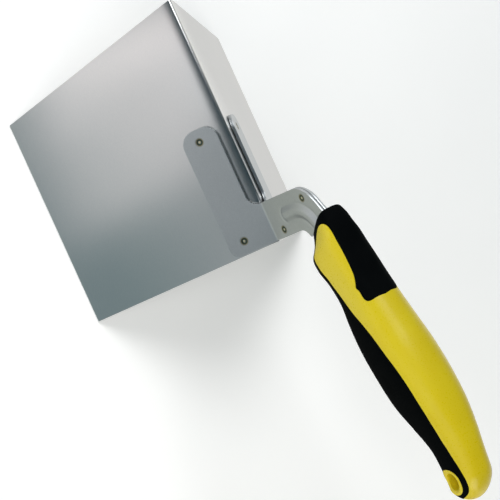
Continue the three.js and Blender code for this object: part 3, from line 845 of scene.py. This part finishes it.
def satin_steel(name, light, dark, roughness, grain):
    """Rolled stainless with a satin finish: a soft, cloudy grey with a very faint grain along the
    ridge, the grain drawn coarser than the real 0.1 mm so that it shows."""
    material, tree, shader, mm = finish_named(name)
    shader.inputs["Metallic"].default_value = 1.0
    clouds = spread(tree, noise(tree, mm, 38, 2), 0, 1)
    lines = spread(tree, noise(tree, mm, 0.35, 3, stretch=(6, 1, 1)), 0, 1)
    speck = spread(tree, noise(tree, mm, 0.6, 2), 0, 1)
    tone = node(tree, "ShaderNodeMath", {0: clouds, 1: lines}, operation="ADD").outputs[0]
    tone = node(tree, "ShaderNodeMath", {0: tone, 1: speck}, operation="ADD").outputs[0]
    share = node(tree, "ShaderNodeMapRange", {"Value": tone, "From Min": 0.4, "From Max": 2.6})
    base = mixed(tree, share.outputs["Result"], colour(dark), colour(light))
    rough = spread(tree, lines, roughness - grain, roughness + grain)
    tree.links.new(rough, shader.inputs["Roughness"])
    return material, tree, shader, base


def blade_finish():
    material, tree, shader, base = satin_steel("satin_stainless_sheet", "#D0D0CF", "#C9CACA",
                                               0.3, 0.008)
    tree.links.new(base, shader.inputs["Base Color"])
    return material


# Heat colours of a spot weld by distance from its middle, in millimetres, on bright steel.
HEAT = [(0.0, "#E2DEC6"), (0.45, "#C9C2A4"), (0.8, "#5A6660"), (1.2, "#3C4C48"),
        (1.55, "#6B6647"), (1.8, "#8A8468")]
HEAT_ENDS = 2.4


def heat_tinted(tree, base):
    """The base colour with the straw, brown and blue rings that welding leaves."""
    distance = node(tree, "ShaderNodeAttribute", attribute_name="from_weld").outputs["Fac"]
    ramp = node(tree, "ShaderNodeValToRGB", {"Fac": node(
        tree, "ShaderNodeMapRange", {"Value": distance, "From Max": HEAT_ENDS}).outputs["Result"]})
    stops = ramp.color_ramp.elements
    stops[0].position, stops[0].color = 0, colour(HEAT[0][1])
    stops[1].position, stops[1].color = HEAT[-1][0] / HEAT_ENDS, colour(HEAT[-1][1])
    for at, code in HEAT[1:-1]:
        stops.new(at / HEAT_ENDS).color = colour(code)
    fade = node(tree, "ShaderNodeMapRange", {"Value": distance, "From Min": 1.6,
                "From Max": HEAT_ENDS, "To Min": 1.0, "To Max": 0.0}).outputs["Result"]
    return mixed(tree, fade, base, ramp.outputs["Color"])


def stamping_finish():
    material, tree, shader, base = satin_steel("tumbled_stainless_stamping", "#C4C8CA", "#B8BCBE",
                                               0.45, 0.02)
    tree.links.new(heat_tinted(tree, base), shader.inputs["Base Color"])
    return material


def weld_finish():
    material, tree, shader, base = satin_steel("spot_weld_steel", "#A9ADAF", "#989C9E", 0.4, 0.06)
    tree.links.new(heat_tinted(tree, base), shader.inputs["Base Color"])
    return material


def yellow_finish():
    """Moulded polypropylene with a half gloss: bright yellow with a faint orange-peel skin."""
    material, tree, shader, mm = finish_named("moulded_yellow_polypropylene")
    clouds = spread(tree, noise(tree, mm, 22, 2), 0, 1)
    base = mixed(tree, clouds, colour("#D2BB17"), colour("#D7C21D"))
    tree.links.new(base, shader.inputs["Base Color"])
    fine = noise(tree, mm, 0.7, 2)
    tree.links.new(spread(tree, fine, 0.26, 0.34), shader.inputs["Roughness"])
    shader.inputs["IOR"].default_value = 1.49
    shader.inputs["Subsurface Weight"].default_value = 0.08
    shader.inputs["Subsurface Radius"].default_value = (1.0, 0.7, 0.1)
    shader.inputs["Subsurface Scale"].default_value = 0.002
    bumped(tree, shader, fine, 0.01)
    return material


def rubber_finish():
    """Overmoulded thermoplastic rubber: near black and dull, with a fine spark-eroded grain that
    is drawn at 0.5 mm so that it shows."""
    material, tree, shader, mm = finish_named("overmoulded_black_rubber")
    grain = noise(tree, mm, 0.5, 3)
    base = mixed(tree, spread(tree, noise(tree, mm, 9, 3), 0, 1), colour("#020405"),
                 colour("#040607"))
    tree.links.new(base, shader.inputs["Base Color"])
    tree.links.new(spread(tree, grain, 0.62, 0.78), shader.inputs["Roughness"])
    shader.inputs["Specular IOR Level"].default_value = 0.03
    bumped(tree, shader, grain, 0.03)
    return material


def floor_finish():
    """Matt white paper that glows a little, as on a light table, so the ground stays pale."""
    material, tree, shader, mm = finish_named("matt_white_paper")
    base = mixed(tree, spread(tree, noise(tree, mm, 60, 2), 0, 1), colour("#F4F4F3"),
                 colour("#F6F6F5"))
    tree.links.new(base, shader.inputs["Base Color"])
    shader.inputs["Emission Color"].default_value = colour("#FFFFFF")
    shader.inputs["Emission Strength"].default_value = 0.2
    shader.inputs["Roughness"].default_value = 0.9
    return material


def dressed(piece, material):
    """Give the piece this one finish."""
    piece.data.materials.clear()
    piece.data.materials.append(material)


# ---------- the object ----------

dressed(make_blade(), blade_finish())
bracket_steel = stamping_finish()
for stamping in make_stampings():
    dressed(stamping, bracket_steel)
welded_steel = weld_finish()
for weld in make_welds():
    dressed(weld, welded_steel)
handle_form = make_handle_form()
dressed(make_core(handle_form), yellow_finish())
dressed(make_grip(handle_form), rubber_finish())
bpy.data.objects.remove(handle_form)

# ---------- studio ----------


def make_floor():
    bpy.ops.object.select_all(action="DESELECT")
    bpy.ops.mesh.primitive_plane_add(size=6, location=(0, 0, 0))
    floor = named(bpy.context.object, "paper_floor")
    dressed(floor, floor_finish())
    floor.visible_glossy = False  # the steel mirrors the room's lower half instead


def softbox(name, where, aim, size, glow, tint="#FFFFFF", mirrored=True):
    """A flat lamp of that size in metres. Its glow is its brightness seen face on, and it can be
    kept out of what the steel mirrors."""
    lamp = bpy.data.lights.new(name, "AREA")
    lamp.shape = "RECTANGLE"
    lamp.size, lamp.size_y = size
    lamp.energy = glow * math.pi * size[0] * size[1]
    lamp.color = colour(tint)[:3]
    box = bpy.data.objects.new(name, lamp)
    bpy.context.scene.collection.objects.link(box)
    box.location = where
    box.rotation_euler = (Vector(aim) - Vector(where)).to_track_quat("-Z", "Y").to_euler()
    box.visible_camera = False
    box.visible_glossy = mirrored


# The room's tones by tilt from straight up towards the front, in degrees. The dark band overhead
# draws the line along the fold. The grey below the front darkens the near wing's low corner, and
# the pale tones low behind light the far wing.
ROOM = [(-180, "#3C3C3C"), (-140, "#A3A3A2"), (-112, "#C9C8C5"), (-95, "#A0A2A2"),
        (-60, "#16292E"), (-25, "#0B2128"), (58, "#0A222A"), (72, "#919496"), (84, "#556768"),
        (97, "#42575F"), (112, "#9A9C98"), (128, "#96978D"), (150, "#979A92"), (180, "#3C3C3C")]
ROOM_STRENGTH = 2.2


def make_room():
    world = bpy.data.worlds.new("pale_room")
    bpy.context.scene.world = world
    world.use_nodes = True
    tree = world.node_tree
    tree.nodes.clear()
    way = node(tree, "ShaderNodeSeparateXYZ",
               {"Vector": node(tree, "ShaderNodeTexCoord").outputs["Generated"]})
    front = node(tree, "ShaderNodeMath", {0: way.outputs["Y"], 1: -1.0}, operation="MULTIPLY")
    tilt = node(tree, "ShaderNodeMath", {0: front.outputs[0], 1: way.outputs["Z"]},
                operation="ARCTAN2")
    share = node(tree, "ShaderNodeMapRange", {"Value": tilt.outputs[0], "From Min": -math.pi,
                 "From Max": math.pi})
    ramp = node(tree, "ShaderNodeValToRGB", {"Fac": share.outputs["Result"]})
    stops = ramp.color_ramp.elements
    stops[0].position, stops[0].color = 0, colour(ROOM[0][1])
    stops[1].position, stops[1].color = 1, colour(ROOM[-1][1])
    for tilt_degrees, code in ROOM[1:-1]:
        stops.new((tilt_degrees + 180) / 360).color = colour(code)
    light = node(tree, "ShaderNodeBackground", {"Color": ramp.outputs["Color"],
                 "Strength": ROOM_STRENGTH})
    node(tree, "ShaderNodeOutputWorld", {"Surface": light.outputs["Background"]})


CAMERA_AT = Vector((0.0987, -0.8015, 1.2703))  # from the ridge's toe end, in metres
CAMERA_TURN = (13.44, -28.97, 61.82)  # degrees
CAMERA_LENS = 226.2
CAMERA_FILM = 36


def make_camera():
    data = bpy.data.cameras.new("camera")
    data.sensor_width = CAMERA_FILM
    data.lens = CAMERA_LENS
    data.clip_start, data.clip_end = 0.05, 20
    camera = bpy.data.objects.new("camera", data)
    bpy.context.scene.collection.objects.link(camera)
    camera.location = RIDGE_ORIGIN + CAMERA_AT
    camera.rotation_euler = [math.radians(turn) for turn in CAMERA_TURN]
    bpy.context.scene.camera = camera


WARM = "#FFF1EF"
MIDDLE = (0, 0, 0.08)
NECK = (0.07, 0, 0.1)
# Where each lamp is, what it is aimed at, its size in metres, its glow and its tint.
LAMPS = {
    "over_toe": ((-0.6, 0.1, 0.7), MIDDLE, (0.5, 0.5), 6.7, "#FFFFFF"),
    "handle_side": ((0.42, -0.42, 0.32), NECK, (0.3, 0.3), 0.7, "#FFFFFF"),
    "heel_low": ((0.55, -0.1, 0.3), NECK, (0.3, 0.3), 3.2, "#FFF6E0"),
    "front_tall": ((-0.24, -0.3, 0.12), (-0.24, 0, 0.12), (0.06, 0.24), 1.3, WARM),
    "front_low": ((-0.18, -0.3, 0.03), (-0.18, 0, 0.03), (0.06, 0.06), 0.85, WARM),
    "front_wide": ((-0.12, -0.3, 0.09), (-0.12, 0, 0.09), (0.18, 0.18), 0.52, WARM),
    "front_high": ((-0.15, -0.3, 0.21), (-0.15, 0, 0.21), (0.12, 0.06), 0.95, "#FFFFFF"),
}

make_floor()
make_room()
for lamp_name, settings in LAMPS.items():
    softbox(lamp_name, *settings)
softbox("fill", (0.15, -0.55, 0.75), (0.03, 0, 0.05), (0.7, 0.7), 2.2, mirrored=False)
make_camera()
bpy.context.scene.view_settings.view_transform = "Standard"
